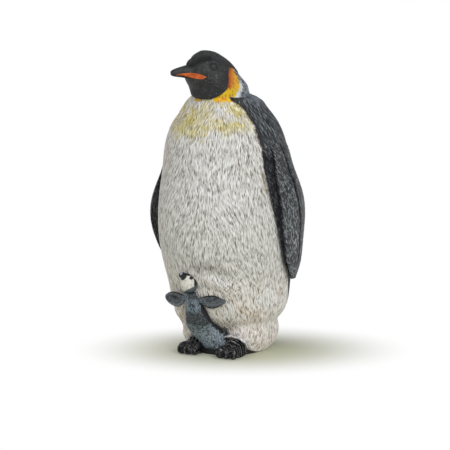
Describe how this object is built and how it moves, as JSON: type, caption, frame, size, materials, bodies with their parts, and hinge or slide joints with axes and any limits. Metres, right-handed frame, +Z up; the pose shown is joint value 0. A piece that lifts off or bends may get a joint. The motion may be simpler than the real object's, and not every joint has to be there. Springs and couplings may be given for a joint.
{
  "type": "penguin figurine",
  "caption": "Standing emperor penguin figurine in painted plastic, head turned to its right, with a grey chick standing on its feet against the belly.",
  "frame": {"origin": "on the ground, under the body's axis, in the middle of the sole plate's underside", "axes": "+Z up the body, the belly faces -Y, the bird's left side is +X"},
  "size_m": [0.0486, 0.0411, 0.0886],
  "materials": {
    "belly_plumage": "moulded feather relief, painted silvery white with grey-brown wash",
    "back_plumage": "moulded feather relief, painted charcoal with grey dry brush",
    "hood": "satin black paint with orange and yellow neck patches",
    "feet": "black paint with grey dry brush",
    "sole": "plain black",
    "chick_down": "moulded down, painted blue-grey with dark wash",
    "chick_face": "white face with black cap, painted"
  },
  "bodies": {
    "root": {"belly_shell": "belly_plumage", "back_shell": "back_plumage", "head": "hood", "left_flipper": "back_plumage", "right_flipper": "back_plumage", "left_foot": "feet", "right_foot": "feet", "sole_plate": "sole", "chick_body": "chick_down", "chick_head": "chick_face", "chick_left_flipper": "chick_down", "chick_right_flipper": "chick_down"}
  },
  "joints": []
}
